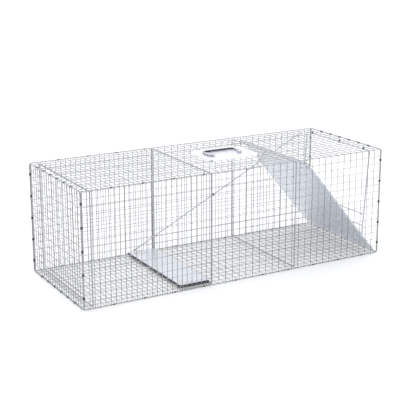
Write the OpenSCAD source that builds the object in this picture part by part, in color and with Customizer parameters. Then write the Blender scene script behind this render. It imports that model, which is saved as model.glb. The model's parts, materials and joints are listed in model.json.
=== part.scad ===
// Live catch trap: a long box of welded wire mesh with a sloping drop door at its front end, a wire
// lock frame that falls behind the door, a treadle with a trigger rod, and a folding carrying handle.
// +X runs from the closed rear end to the door end, +Z is up, and the origin is the middle of the base.

/* [Cage] */
// Mesh cell up the height
cell = 25.4; // [25:0.1:25.8]
// Mesh cell across the width
wide_cell = 28.4; // [28:0.1:28.8]
// Mesh cell along the front section
front_cell = 26.5; // [26.3:0.1:26.7]
// Mesh cell along the rear section
rear_cell = 18.2; // [18:0.1:18.4]
// Diameter of a mesh wire
mesh_d = 2; // [1.8:0.1:2]
// Diameter of a panel's edge wire
edge_d = 2.5; // [2.4:0.1:2.6]
// Diameter of the hoops and of the wire round each end
hoop_d = 4; // [3.8:0.1:4]
// Distance from the rear end to the first hoop
rear_hoop_at = 30; // [28:1:34]
// Distance from the rear end to the hoop behind the door's hinge
door_hoop_at = 788; // [786:1:792]

/* [Door] */
// Distance from the rear end to the door's hinge line
hinge_at = 832.5; // [832:0.5:834]
// Drop from the cage's roof wires to the door's hinge line
hinge_drop = 15; // [14:0.5:16]
// Slope of the closed door below the horizontal
door_slope = 49.9; // [49.7:0.1:50.1]
// Thickness of the door's sheet
door_t = 1.2; // [1:0.1:1.4]
// Height of the door's turned edges
door_lip = 7; // [5:0.5:8]
// Diameter of the hinge rod
hinge_d = 5; // [4.6:0.1:5]

/* [Lock frame] */
// Distance from the rear end to the lock frame's pivot
lock_at = 1113.5; // [1112:0.5:1113.5]
// Length of the frame's legs
lock_len = 314; // [312:1:316]
// Diameter of the frame's wire
lock_d = 5; // [4.6:0.1:5]
// Distance of each leg from the cage's middle
lock_leg_y = 190; // [186:1:191]
// Distance from the pivot to the upper crossbar
upper_bar = 232; // [230:1:234]
// Distance from the pivot to the lower crossbar
lower_bar = 274; // [272:1:276]

/* [Treadle] */
// Length of the treadle along the cage
pan_len = 110; // [100:1:111]
// Distance of the treadle's right end from the cage's middle
pan_right = 205; // [203:1:206]
// Distance of the treadle's left end from the cage's middle
pan_left = 193; // [190:1:194]
// Depth of the treadle's turned edges
pan_lip = 10; // [8:0.5:10]
// Diameter of the treadle's pivot wire and of the trigger rod
trip_d = 4; // [3.8:0.1:4]

/* [Handle] */
// Diameter of the handle's rod
handle_d = 7; // [6:0.5:7]
// Distance from the handle's hinge line to its grip
handle_reach = 58; // [54:1:60]
// Length of the guard plate under the handle
guard_len = 204; // [202:1:206]
// Width of the guard plate across the cage
guard_wide = 170; // [168:1:172]
// Thickness of the guard plate
guard_t = 1.2; // [1:0.1:1.4]

/* [Hidden] */

// Cells across the width and up the height, along each section, and across the rear end
cells = 15;
front_columns = 26;
rear_columns = 25;
end_columns = 22;

fine = 32;
mesh_r = mesh_d / 2;
edge_r = edge_d / 2;
hoop_r = hoop_d / 2;
trip_r = trip_d / 2;
weld_gap = 0.005;
side_gap = 0.05;
fit = 0.05;
// The two layers of a panel lie this far either side of its middle plane
layer = mesh_r + weld_gap;
panel_skin = layer + mesh_r;

height = cell * cells;
width = wide_cell * cells;
rear_len = rear_cell * rear_columns;
cage_len = rear_len + front_cell * front_columns;
x_rear = -cage_len / 2;
x_front = cage_len / 2;
x_seam = x_rear + rear_len;
z_floor = panel_skin;
z_roof = z_floor + height;
edge_pitch = edge_d + side_gap;
end_pitch = edge_r + hoop_r + side_gap;
front_step = (front_cell * front_columns - edge_pitch / 2) / front_columns;
rear_step = (rear_len - edge_pitch / 2) / rear_columns;

// Hinge, lock and trigger places in the middle plane
x_hinge = x_rear + hinge_at;
z_hinge = z_roof - hinge_drop;
door_side_gap = 12;
door_half = width / 2 - door_side_gap;
floor_top = z_floor + panel_skin;
door_clear = 0.6;
door_len = (z_hinge - floor_top - door_clear - door_t / 2 * cos(door_slope)) / sin(door_slope);
lock_drop = 4.5;
lock_rest_gap = 0.3;
x_lock = x_rear + lock_at;
z_lock = z_roof - panel_skin - lock_drop;
lock_rise = (x_lock - x_hinge) * sin(door_slope) + (z_lock - z_hinge) * cos(door_slope);
lock_tilt = door_slope - acos((lock_rise - lock_d / 2 - door_t / 2 - lock_rest_gap) / lock_len);

// The pivot lies midway between two crosswise floor wires
tread_cell = 19.5;
pan_behind_pivot = 12.35;
x_tread = x_rear + tread_cell * rear_step;
x_pan = x_tread - pan_behind_pivot;
z_tread = 12;
pan_t = 1;
z_pan = 18;
crank = [22, 4];
rod_from_side = 8.4;
crank_gap = 6.6;
trip_y = width / 2 - rod_from_side;
crank_y = trip_y - crank_gap;
pin = [x_tread + crank[0], z_tread + crank[1]];
// The trigger rod's hook waits in the door's notch, just above the open door
hook_from_hinge = 256;
hook_lift = 2.4;
hook = [x_hinge + hook_from_hinge, z_hinge + hook_lift];
rod_slope = atan2(hook[1] - pin[1], hook[0] - pin[0]);
hook_reach = 18;
notch_before = 3;
notch_behind = 2.4;
notch = [hook_from_hinge - trip_r - notch_before, hook_from_hinge + trip_r + notch_behind];
guide_row = 7;
z_guide = z_floor + guide_row * cell;
x_guide = pin[0] + (z_guide - pin[1]) / tan(rod_slope);

z_guard = z_roof + panel_skin + side_gap;
z_guard_top = z_guard + guard_t;
handle_r = handle_d / 2;
saddle_wall = 1;
z_handle = z_guard_top + saddle_wall + handle_r + fit;
handle_y = -20;
handle_feet = [x_seam + 108, x_seam + 232];
saddle_x = [x_seam + 118, x_seam + 222];
rivet_from_saddle = 9;
guard_x = x_seam + 73;
guard_wires = [for (k = [3, 10]) x_seam + edge_pitch / 2 + k * front_step];
ring_y = 76;

function unit(v) = v / norm(v);

// Place across the cage of a point k mesh cells from its right side
function wire_y(k) = (k / cells - 0.5) * width;

// A straight round wire from a to b
module straight(a, b, r) {
    d = b - a;
    turn = atan2(d[1], d[0]);
    translate(a) rotate([0, acos(d[2] / norm(d)), turn]) cylinder(h = norm(d), r = r, $fn = fine);
}

// The bend of a round wire at p, from direction u to direction v
module elbow(p, u, v, r, bend) {
    turn = acos(u * v);
    z = unit(cross(u, v));
    inward = cross(z, u);
    c = p - u * bend * tan(turn / 2) + inward * bend;
    multmatrix([
        [-inward[0], u[0], z[0], c[0]],
        [-inward[1], u[1], z[1], c[1]],
        [-inward[2], u[2], z[2], c[2]],
        [0, 0, 0, 1]
    ]) rotate_extrude(angle = turn, $fn = 48) translate([bend, 0]) circle(r = r, $fn = fine);
}

// A round wire bent along the points p, open or closed, with one bend radius or one for each point
module wire(p, r, bend, closed = false) {
    n = len(p);
    legs = closed ? n : n - 1;
    dir = [for (i = [0:legs - 1]) unit(p[(i + 1) % n] - p[i])];
    first = closed ? 0 : 1;
    corners = [for (i = [first:legs - 1]) i];
    function bend_at(i) = is_list(bend) ? bend[i] : bend;
    function cut(i) = (!closed && (i == 0 || i == n - 1)) ? 0
        : bend_at(i) * tan(acos(dir[(i - 1 + legs) % legs] * dir[i % legs]) / 2);
    for (i = [0:legs - 1]) straight(p[i] + dir[i] * cut(i), p[(i + 1) % n] - dir[i] * cut((i + 1) % n), r);
    for (i = corners) elbow(p[i], dir[(i - 1 + legs) % legs], dir[i], r, bend_at(i));
}

// A flat panel of welded mesh with an edge wire round it. It spans 0 to length along X, and its
// lengthwise wires lie on its +Z face.
module mesh_panel(length, columns, across, inset) {
    edge = across / 2 - inset;
    tail = 0.9;
    wire([[0, -edge, 0], [length, -edge, 0], [length, edge, 0], [0, edge, 0]], edge_r, 5, true);
    for (i = [1:columns - 1]) {
        x = i * length / columns;
        straight([x, -edge - tail, -layer], [x, edge + tail, -layer], mesh_r);
    }
    for (k = [1:cells - 1]) {
        y = (k / cells - 0.5) * across;
        straight([-tail, y, layer], [length + tail, y, layer], mesh_r);
    }
}

module front_panel(across, inset) {
    translate([x_seam + edge_pitch / 2, 0, 0]) {
        mesh_panel(front_columns * front_step, front_columns, across, inset);
    }
}

module rear_panel(across, inset) {
    translate([x_rear, 0, 0]) mesh_panel(rear_columns * rear_step, rear_columns, across, inset);
}

module as_left() {
    translate([0, width / 2, (z_floor + z_roof) / 2]) rotate([90, 0, 0]) children();
}

module as_right() {
    mirror([0, 1, 0]) as_left() children();
}

module as_roof() {
    translate([0, 0, z_roof]) mirror([0, 0, 1]) children();
}

module as_floor() {
    translate([0, 0, z_floor]) children();
}

module left_side_front() {
    color("gainsboro") as_left() front_panel(height, 0);
}

module left_side_rear() {
    color("gainsboro") as_left() rear_panel(height, 0);
}

module right_side_front() {
    color("gainsboro") as_right() front_panel(height, 0);
}

module right_side_rear() {
    color("gainsboro") as_right() rear_panel(height, 0);
}

module roof_front() {
    color("gainsboro") as_roof() front_panel(width, edge_pitch);
}

module roof_rear() {
    color("gainsboro") as_roof() rear_panel(width, edge_pitch);
}

module floor_front() {
    color("gainsboro") as_floor() front_panel(width, edge_pitch);
}

module floor_rear() {
    color("gainsboro") as_floor() rear_panel(width, edge_pitch);
}

// A four-sided loop of wire across the cage at x, set in from the panels' middle planes
module cross_loop(x, r, set_in, bend) {
    y = width / 2 - set_in;
    low = z_floor + set_in;
    high = z_roof - set_in;
    wire([[x, -y, low], [x, y, low], [x, y, high], [x, -y, high]], r, bend, true);
}

module rear_end() {
    x = x_rear - end_pitch;
    color("silver") {
        cross_loop(x, hoop_r, 0, 8);
        for (i = [1:end_columns - 1]) {
            y = (i / end_columns - 0.5) * width;
            straight([x - layer, y, z_floor], [x - layer, y, z_roof], mesh_r);
        }
        for (k = [1:cells - 1]) {
            z = z_floor + k * cell;
            straight([x + layer, -width / 2, z], [x + layer, width / 2, z], mesh_r);
        }
    }
}

hoop_in = panel_skin + hoop_r + weld_gap * 4;
hoop_bend = 5;

module rear_hoop() {
    color("silver") cross_loop(x_rear + rear_hoop_at, hoop_r, hoop_in, hoop_bend);
}

module seam_hoop() {
    color("silver") cross_loop(x_seam + 4, hoop_r, hoop_in, hoop_bend);
}

module door_hoop() {
    color("silver") cross_loop(x_rear + door_hoop_at, hoop_r, hoop_in, hoop_bend);
}

module front_rim() {
    color("silver") cross_loop(x_front + end_pitch, hoop_r, 0, 8);
}

// A sheet-metal clip closed round two wires that run along Z, pitch apart along X
module clip(pitch, r_in, r_out, length) {
    difference() {
        linear_extrude(length, center = true) oblong(pitch, r_out);
        linear_extrude(length + 2, center = true) oblong(pitch, r_in);
    }
}

module oblong(pitch, r) {
    square([pitch, 2 * r], center = true);
    for (s = [-1, 1]) translate([s * pitch / 2, 0]) circle(r = r, $fn = fine);
}

// Clips that close the long edges, each midway between two crosswise wires
module edge_clips() {
    r_in = edge_r + 0.06;
    r_out = edge_r + 0.45;
    y = width / 2 - edge_pitch / 2;
    rear_at = [for (k = [0:3]) x_rear + (6 * k + 5.5) * rear_step];
    front_at = [for (k = [0:5]) x_front - (4 * k + 2.5) * front_step];
    color("dimgray") for (s = [-1, 1]) {
        for (x = concat(rear_at, front_at)) {
            translate([x, s * y, z_floor]) rotate([90, 0, 90]) clip(edge_pitch, r_in, r_out, 7);
        }
        for (x = rear_at) {
            translate([x, s * y, z_roof]) rotate([90, 0, 90]) clip(edge_pitch, r_in, r_out, 7);
        }
    }
}

// Clips that hold the rear end and the front rim to the panels. Those on the floor are open below.
module end_clips() {
    r_in = hoop_r + 0.06;
    r_out = hoop_r + 0.5;
    color("dimgray") for (s = [-1, 1]) {
        x = s * (cage_len / 2 + end_pitch / 2);
        for (k = [1.5:3:13.5]) {
            z = z_floor + k * cell;
            for (t = [-1, 1]) translate([x, t * width / 2, z]) clip(end_pitch, r_in, r_out, 8);
        }
        for (k = [2.5:2:12.5]) {
            y = wire_y(k);
            translate([x, y, z_roof]) rotate([90, 0, 0]) clip(end_pitch, r_in, r_out, 8);
            intersection() {
                translate([x, y, z_floor]) rotate([90, 0, 0]) clip(end_pitch, r_in, r_out, 8);
                translate([x - 20, y - 20, 0.1]) cube(40);
            }
        }
    }
}

module guard_plate() {
    corner = 12;
    ring_cut = 3.86;
    color("aliceblue") difference() {
        translate([guard_x, -guard_wide / 2, z_guard]) linear_extrude(guard_t) rounded([guard_len, guard_wide], corner);
        for (x = guard_wires, y = [-ring_y, ring_y], s = [-1, 1]) {
            translate([x + s * ring_cut, y, z_guard - 1]) cylinder(h = 4, r = 1.5, $fn = fine);
        }
        for (p = rivet_places()) translate([p[0], p[1], z_guard - 1]) cylinder(h = 4, r = 1.55, $fn = fine);
    }
}

module rounded(size, r) {
    translate([r, 0]) square([size[0] - 2 * r, size[1]]);
    translate([0, r]) square([size[0], size[1] - 2 * r]);
    for (x = [r, size[0] - r], y = [r, size[1] - r]) translate([x, y]) circle(r = r, $fn = 48);
}

function rivet_places() = [for (x = saddle_x, s = [-1, 1]) [x, handle_y + s * rivet_from_saddle]];

// Rings through the guard plate and round the roof wires
module guard_rings() {
    color("dimgray") for (x = guard_wires, y = [-ring_y, ring_y]) {
        translate([x, y, z_guard - 0.45]) rotate([90, 0, 0]) rotate_extrude($fn = 48) {
            translate([4, 0]) circle(r = 0.9, $fn = fine);
        }
    }
}

module handle() {
    stub = saddle_x[0] - handle_feet[0] + 5.5;
    y = handle_y + handle_reach;
    color("slategray") wire([
        [handle_feet[0] + stub, handle_y, z_handle],
        [handle_feet[0], handle_y, z_handle],
        [handle_feet[0], y, z_handle],
        [handle_feet[1], y, z_handle],
        [handle_feet[1], handle_y, z_handle],
        [handle_feet[1] - stub, handle_y, z_handle]
    ], handle_r, [0, 5, 15, 15, 5, 0]);
}

module handle_saddles() {
    bore = handle_r + fit;
    color("lightsteelblue") for (x = saddle_x) difference() {
        union() {
            translate([x - 4, handle_y - 12.5, z_guard_top + 0.02]) cube([8, 25, 0.9]);
            translate([x - 4, handle_y, z_handle]) rotate([0, 90, 0]) cylinder(h = 8, r = bore + saddle_wall, $fn = 48);
        }
        translate([x - 5, handle_y, z_handle]) rotate([0, 90, 0]) cylinder(h = 10, r = bore, $fn = 48);
        translate([x - 5, handle_y - 20, z_guard_top - 10 + 0.02]) cube([10, 40, 10]);
        for (s = [-1, 1]) {
            translate([x, handle_y + s * rivet_from_saddle, z_guard]) cylinder(h = 4, r = 1.55, $fn = fine);
        }
    }
}

module handle_rivets() {
    top = z_guard_top + 0.92;
    color("silver") for (p = rivet_places()) translate([p[0], p[1], 0]) {
        translate([0, 0, z_guard - 1]) cylinder(h = top - z_guard + 1.8, r = 1.5, $fn = fine);
        translate([0, 0, z_guard - 1.2]) cylinder(h = 1.18, r = 2.4, $fn = fine);
        translate([0, 0, top + 0.02]) cylinder(h = 1, r = 2.6, $fn = fine);
    }
}

// The door, drawn open and level with its hinge line on the Y axis
module level_door() {
    barrel_r = hinge_d / 2 + fit + 1.3;
    difference() {
        union() {
            rotate([90, 0, 0]) cylinder(h = 2 * door_half - 12, r = barrel_r, center = true, $fn = 48);
            translate([barrel_r - 1, -door_half, -door_t / 2]) cube([door_len - barrel_r + 1, 2 * door_half, door_t]);
            for (y = [-door_half, door_half - door_t]) {
                translate([14, y, -door_t / 2]) cube([door_len - 14, door_t, door_lip]);
            }
            translate([door_len - door_t, -door_half, -door_t / 2]) cube([door_t, 2 * door_half, door_lip]);
        }
        rotate([90, 0, 0]) cylinder(h = 3 * door_half, r = hinge_d / 2 + fit, center = true, $fn = 48);
        translate([notch[0], door_half - 15.5, -5]) cube([notch[1] - notch[0], 20, 20]);
    }
}

module door() {
    color("lightsteelblue") translate([x_hinge, 0, z_hinge]) rotate([0, door_slope, 0]) level_door();
}

// The hinge rod crosses the cage and turns down outside each wall
module hinge_rod() {
    y = width / 2 + panel_skin + hinge_d / 2 + 0.3;
    color("silver") wire([
        [x_hinge, -y, z_hinge - 16],
        [x_hinge, -y, z_hinge],
        [x_hinge, y, z_hinge],
        [x_hinge, y, z_hinge - 16]
    ], hinge_d / 2, 4.5);
}

// The lock frame is drawn hanging straight down from its pivot bar, then leant back on the door
module lock_frame() {
    r = lock_d / 2;
    y = lock_leg_y;
    color("darkgray") translate([x_lock, 0, z_lock]) rotate([0, lock_tilt, 0]) {
        wire([[0, -y, 0], [0, y, 0], [0, y, -lock_len], [0, -y, -lock_len]], r, 7, true);
        for (d = [upper_bar, lower_bar]) straight([0, -y, -d], [0, y, -d], r - 0.4);
    }
}

// A loop with its bore along Y, and a smaller loop along X that hangs it on a lengthwise wire
module hanger(bore, wall, rise) {
    difference() {
        union() {
            rotate([90, 0, 0]) cylinder(h = 5, r = bore + wall, center = true, $fn = 48);
            translate([0, 0, rise]) rotate([0, 90, 0]) cylinder(h = 4, r = mesh_r + 0.9, center = true, $fn = 48);
            translate([-2, -0.9, min(0, rise)]) cube([4, 1.8, abs(rise)]);
        }
        rotate([90, 0, 0]) cylinder(h = 20, r = bore, center = true, $fn = 48);
        translate([0, 0, rise]) rotate([0, 90, 0]) cylinder(h = 20, r = mesh_r + 0.08, center = true, $fn = fine);
    }
}

module lock_loops() {
    rise = z_roof - layer - z_lock;
    color("dimgray") for (k = [2, floor(cells / 2), cells - 2]) {
        translate([x_lock, wire_y(k), z_lock]) hanger(lock_d / 2 + fit, 1.6, rise);
    }
}

module treadle_loops() {
    rise = z_floor + layer - z_tread;
    color("dimgray") for (k = [2, cells - 2]) {
        translate([x_tread, wire_y(k), z_tread]) hanger(trip_r + fit, 1.6, rise);
    }
}

module treadle_pan() {
    slot = [18, 4];
    slot_y = 168.5;
    pan_wide = pan_right + pan_left;
    color("lightsteelblue") difference() {
        translate([x_pan, -pan_right, z_pan - pan_lip]) cube([pan_len, pan_wide, pan_lip]);
        translate([x_pan + pan_t, pan_t - pan_right, z_pan - pan_lip - 1]) {
            cube([pan_len - 2 * pan_t, pan_wide - 2 * pan_t, pan_lip - pan_t + 1]);
        }
        translate([x_tread, 0, z_tread]) rotate([90, 0, 0]) {
            cylinder(h = width, r = trip_r + fit, center = true, $fn = 48);
        }
        for (s = [-1, 1]) {
            translate([x_pan + 13, s * slot_y - slot[1] / 2, z_pan - 3]) cube([slot[0], slot[1], 6]);
        }
    }
}

// The treadle turns with this wire, whose far end is cranked up to pull the trigger rod
module treadle_rod() {
    arm = norm(crank);
    lean = atan2(crank[1], crank[0]);
    color("silver") translate([x_tread, 0, z_tread]) rotate([0, -lean, 0]) wire([
        [0, -pan_right - 3.5, 0],
        [0, crank_y, 0],
        [arm, crank_y, 0],
        [arm, trip_y + 3.6, 0]
    ], trip_r, 3);
}

// The trigger rod has an eye on the crank's pin and a hook that holds the open door up
module trigger_rod() {
    eye_r = trip_r + 3;
    reach = norm(hook - pin);
    color("silver") translate([pin[0], trip_y, pin[1]]) rotate([0, -rod_slope, 0]) difference() {
        union() {
            rotate([90, 0, 0]) cylinder(h = trip_d - 0.4, r = eye_r, center = true, $fn = 48);
            wire([[eye_r - 1, 0, 0], [reach, 0, 0], [reach, -hook_reach, 0]], trip_r, 4);
        }
        rotate([90, 0, 0]) cylinder(h = 20, r = trip_r + fit, center = true, $fn = 48);
    }
}

// A loop on the left side that the trigger rod slides through
module rod_guide() {
    bore = trip_r + 1.2;
    y_wire = width / 2 - layer;
    color("dimgray") difference() {
        union() {
            translate([x_guide, trip_y, z_guide]) rotate([0, 90 - rod_slope, 0]) {
                cylinder(h = 4, r = bore + 1.2, center = true, $fn = 48);
            }
            translate([x_guide, y_wire, z_guide]) rotate([0, 90, 0]) {
                cylinder(h = 4, r = mesh_r + 0.9, center = true, $fn = 48);
            }
            translate([x_guide - 1.5, trip_y + bore, z_guide - 0.9]) cube([3, y_wire - trip_y - bore, 1.8]);
        }
        translate([x_guide, trip_y, z_guide]) rotate([0, 90 - rod_slope, 0]) {
            cylinder(h = 20, r = bore, center = true, $fn = 48);
        }
        translate([x_guide, y_wire, z_guide]) rotate([0, 90, 0]) {
            cylinder(h = 20, r = mesh_r + 0.08, center = true, $fn = fine);
        }
    }
}

right_side_front();
right_side_rear();
left_side_front();
left_side_rear();
roof_front();
roof_rear();
floor_front();
floor_rear();
rear_end();
rear_hoop();
seam_hoop();
door_hoop();
front_rim();
edge_clips();
end_clips();
guard_plate();
guard_rings();
handle();
handle_saddles();
handle_rivets();
door();
hinge_rod();
lock_frame();
lock_loops();
treadle_pan();
treadle_rod();
treadle_loops();
trigger_rod();
rod_guide();
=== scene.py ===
"""A live catch trap of welded wire mesh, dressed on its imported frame.

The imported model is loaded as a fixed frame. Each sub-assembly is a class that reads its places from
the frame's boxes, builds its pieces as computed surfaces and gives them their finishes.
All lengths are in metres, +X runs to the door end and +Z is up.
"""
from __future__ import annotations

import json
import logging
import math
from dataclasses import dataclass, field
from enum import Enum
from typing import Any, Sequence

import bpy
import numpy as np
from mathutils import Matrix, Vector

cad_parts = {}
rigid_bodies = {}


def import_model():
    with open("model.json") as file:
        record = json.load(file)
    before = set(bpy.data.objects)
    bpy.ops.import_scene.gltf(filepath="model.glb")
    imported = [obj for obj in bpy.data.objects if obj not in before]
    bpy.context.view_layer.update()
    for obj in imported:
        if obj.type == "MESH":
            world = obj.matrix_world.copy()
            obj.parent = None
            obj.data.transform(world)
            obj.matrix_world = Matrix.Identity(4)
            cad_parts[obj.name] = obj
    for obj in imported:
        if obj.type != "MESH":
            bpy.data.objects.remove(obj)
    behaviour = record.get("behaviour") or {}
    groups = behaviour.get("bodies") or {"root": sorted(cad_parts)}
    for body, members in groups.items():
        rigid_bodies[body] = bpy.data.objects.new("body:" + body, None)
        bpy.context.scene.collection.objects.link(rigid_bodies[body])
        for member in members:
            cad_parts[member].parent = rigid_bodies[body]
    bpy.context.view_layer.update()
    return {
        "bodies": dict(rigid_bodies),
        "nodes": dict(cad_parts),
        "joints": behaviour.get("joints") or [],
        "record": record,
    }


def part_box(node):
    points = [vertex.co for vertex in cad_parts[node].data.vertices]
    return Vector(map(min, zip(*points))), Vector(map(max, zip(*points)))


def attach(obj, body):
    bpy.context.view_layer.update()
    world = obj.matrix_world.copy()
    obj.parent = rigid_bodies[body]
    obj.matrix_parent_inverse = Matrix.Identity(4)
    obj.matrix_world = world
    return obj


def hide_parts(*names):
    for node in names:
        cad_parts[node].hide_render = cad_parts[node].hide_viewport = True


LOG = logging.getLogger("trap")
TAU = 2 * math.pi
Array = np.ndarray
# Tone ranges of painted shade: the darker range for the wires that stand upright, the lighter range, painted
# light, for the others
SHADED_TONES = (0.0, 0.4)
LIT_TONES = (0.45, 1.0)
# Zinc crystals per metre of sheet
CRYSTALS = 85.0


# ---- surfaces


@dataclass
class Surface:
    """A polygon surface held as whole arrays.

    Attributes:
        points: One row of x, y, z for each vertex.
        quads: One row of four vertex numbers for each quad.
        tris: One row of three vertex numbers for each triangle.
        tone: One shade number for each vertex, from 0 to 1, random within a range on mesh wires, through
            which finishes paint shade into the colour.
    """

    points: Array
    quads: Array
    tris: Array = field(default_factory=lambda: np.zeros((0, 3), int))
    tone: Array | None = None

    def shade(self) -> Array:
        """The tone of every vertex, a middle tone where none was given."""
        return np.full(len(self.points), 0.5) if self.tone is None else self.tone

    @staticmethod
    def join(parts: Sequence["Surface"]) -> "Surface":
        """Puts several surfaces into one.

        Args:
            parts: The surfaces, which stay separate shells.

        Returns:
            One surface that holds them all.
        """
        starts = np.cumsum([0] + [len(p.points) for p in parts[:-1]])
        return Surface(
            np.concatenate([p.points for p in parts]),
            np.concatenate([p.quads + s for p, s in zip(parts, starts)]),
            np.concatenate([p.tris + s for p, s in zip(parts, starts)]),
            np.concatenate([p.shade() for p in parts]),
        )


def lattice(rows: int, columns: int, wrap_rows: bool = False, wrap_columns: bool = False) -> Array:
    """The quads of a grid of points that is stored row by row.

    Args:
        rows: How many rows of points there are.
        columns: How many points a row has.
        wrap_rows: Whether the last row joins the first.
        wrap_columns: Whether a row's last point joins its first.

    Returns:
        One row of four point numbers for each quad.
    """
    i, j = np.meshgrid(
        np.arange(rows if wrap_rows else rows - 1),
        np.arange(columns if wrap_columns else columns - 1),
        indexing="ij",
    )
    up, right = (i + 1) % rows, (j + 1) % columns
    corners = (i * columns + j, i * columns + right, up * columns + right, up * columns + j)
    return np.stack([c.ravel() for c in corners], axis=1)


def unit(vectors: Array) -> Array:
    """Each vector divided by its length, along the last axis."""
    return vectors / np.linalg.norm(vectors, axis=-1, keepdims=True)


def round_wires(paths: Array, radius: float | Array, side: Sequence[float], count: int = 8,
                tone: Array | None = None, closed: bool = False) -> Surface:
    """Round wires swept along many paths at once.

    A ring point is path + radius * (cos a * u + sin a * v), where u is the side direction made square
    to the path, v is path direction x u, and a runs once round. Open wires end in low domes: three
    more rings shrink to a pole.

    Args:
        paths: Points of shape (wires, stations, 3).
        radius: One radius, or one for each station.
        side: A direction that no path runs along.
        count: Points round the wire.
        tone: One shade number for each wire.
        closed: Whether each path's last point joins its first.

    Returns:
        The wires as one surface.
    """
    wires, stations, _ = paths.shape
    radii = np.broadcast_to(np.asarray(radius, float), (wires, stations)).copy()
    if closed:
        ahead = unit(np.roll(paths, -1, axis=1) - np.roll(paths, 1, axis=1))
    else:
        ahead = unit(np.gradient(paths, axis=1))
        dome = np.array([0.0, 0.5, 0.87])
        lift = np.array([0.45, 0.39, 0.22])
        first, last = paths[:, :1], paths[:, -1:]
        r0, r1 = radii[:, :1, None], radii[:, -1:, None]
        head = first - ahead[:, :1] * r0 * lift[None, :, None]
        foot = last + ahead[:, -1:] * r1 * lift[None, ::-1, None]
        paths = np.concatenate([head, paths, foot], axis=1)
        radii = np.concatenate([radii[:, :1] * dome, radii, radii[:, -1:] * dome[::-1]], axis=1)
        radii = np.maximum(radii, 1e-7)
        ahead = np.concatenate([np.repeat(ahead[:, :1], 3, 1), ahead, np.repeat(ahead[:, -1:], 3, 1)], axis=1)
        stations += 6
    across = np.asarray(side, float)
    u = unit(across - (ahead @ across)[..., None] * ahead)
    v = np.cross(ahead, u)
    angle = np.arange(count) * TAU / count
    ring = np.cos(angle)[:, None] * u[:, :, None] + np.sin(angle)[:, None] * v[:, :, None]
    points = (paths[:, :, None] + radii[:, :, None, None] * ring).reshape(-1, 3)
    block = lattice(stations, count, wrap_rows=closed, wrap_columns=True)
    starts = np.arange(wires)[:, None, None] * stations * count
    shade = np.full(wires, 0.5) if tone is None else np.asarray(tone, float)
    return Surface(points, (block[None] + starts).reshape(-1, 4), tone=np.repeat(shade, stations * count))


def bent_path(corners: Sequence[Sequence[float]], bends: Sequence[float] | float, closed: bool = False,
              arc_points: int = 7) -> Array:
    """The centre line of a wire bent at its corners.

    At a corner the line leaves each leg bend * tan(turn / 2) before it, and follows a circular arc:
    centre + bend * (cos a * -inward + sin a * along), with a from 0 to the turn.

    Args:
        corners: The points where the legs would meet.
        bends: One bend radius, or one for each corner.
        closed: Whether the last leg runs back to the first corner.
        arc_points: Stations on each arc.

    Returns:
        The line's points, in order.
    """
    p = np.asarray(corners, float)
    n = len(p)
    radius = np.broadcast_to(np.asarray(bends, float), n)
    line: list[Array] = []
    for i in range(n):
        if not closed and i in (0, n - 1):
            line.append(p[i][None])
            continue
        u, v = unit(p[i] - p[i - 1]), unit(p[(i + 1) % n] - p[i])
        turn = math.acos(max(-1.0, min(1.0, float(u @ v))))
        inward = unit(v - (v @ u) * u)
        centre = p[i] - u * radius[i] * math.tan(turn / 2) + inward * radius[i]
        a = np.linspace(0, turn, arc_points)[:, None]
        line.append(centre + radius[i] * (-np.cos(a) * inward + np.sin(a) * u))
    return np.concatenate(line)


def spaced(line: Array, step: float, closed: bool = False) -> Array:
    """A line with extra points, so that no gap is longer than step.

    Args:
        line: The line's points, in order.
        step: The longest gap to leave.
        closed: Whether the last point joins the first.

    Returns:
        The line with evenly spread points between its own.
    """
    ends = np.roll(line, -1, axis=0) if closed else line[1:]
    starts = line if closed else line[:-1]
    pieces = [
        a + (b - a) * np.arange(k)[:, None] / k
        for a, b in zip(starts, ends)
        for k in [max(1, math.ceil(float(np.linalg.norm(b - a)) / step))]
    ]
    return np.concatenate(pieces if closed else pieces + [line[-1:]])


def one_wire(corners: Sequence[Sequence[float]], radius: float, bends: Sequence[float] | float,
             side: Sequence[float], closed: bool = False, count: int = 14, step: float = 0.012) -> Surface:
    """One thick round wire bent along its corners, as round_wires sweeps it."""
    line = spaced(bent_path(corners, bends, closed), step, closed)
    return round_wires(line[None], radius, side, count, closed=closed)


def make_piece(name: str, surface: Surface, smooth_angle: float | None = 40.0) -> bpy.types.Object:
    """Makes a mesh object from a surface, with its tone kept as a vertex attribute.

    Args:
        name: The piece's name.
        surface: Its points and faces, in the row frame.
        smooth_angle: Edges sharper than this many degrees stay sharp, or None for flat faces.

    Returns:
        The object, at the origin.
    """
    mesh = bpy.data.meshes.new(name)
    mesh.from_pydata(surface.points.tolist(), [], surface.quads.tolist() + surface.tris.tolist())
    tone = mesh.attributes.new("tone", "FLOAT", "POINT")
    tone.data.foreach_set("value", surface.shade().astype(np.float32))
    mesh.polygons.foreach_set("use_smooth", np.full(len(mesh.polygons), smooth_angle is not None))
    mesh.update()
    if smooth_angle is not None:
        mesh.set_sharp_from_angle(angle=math.radians(smooth_angle))
    piece = bpy.data.objects.new(name, mesh)
    bpy.context.scene.collection.objects.link(piece)
    return piece


# ---- finishes


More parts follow.
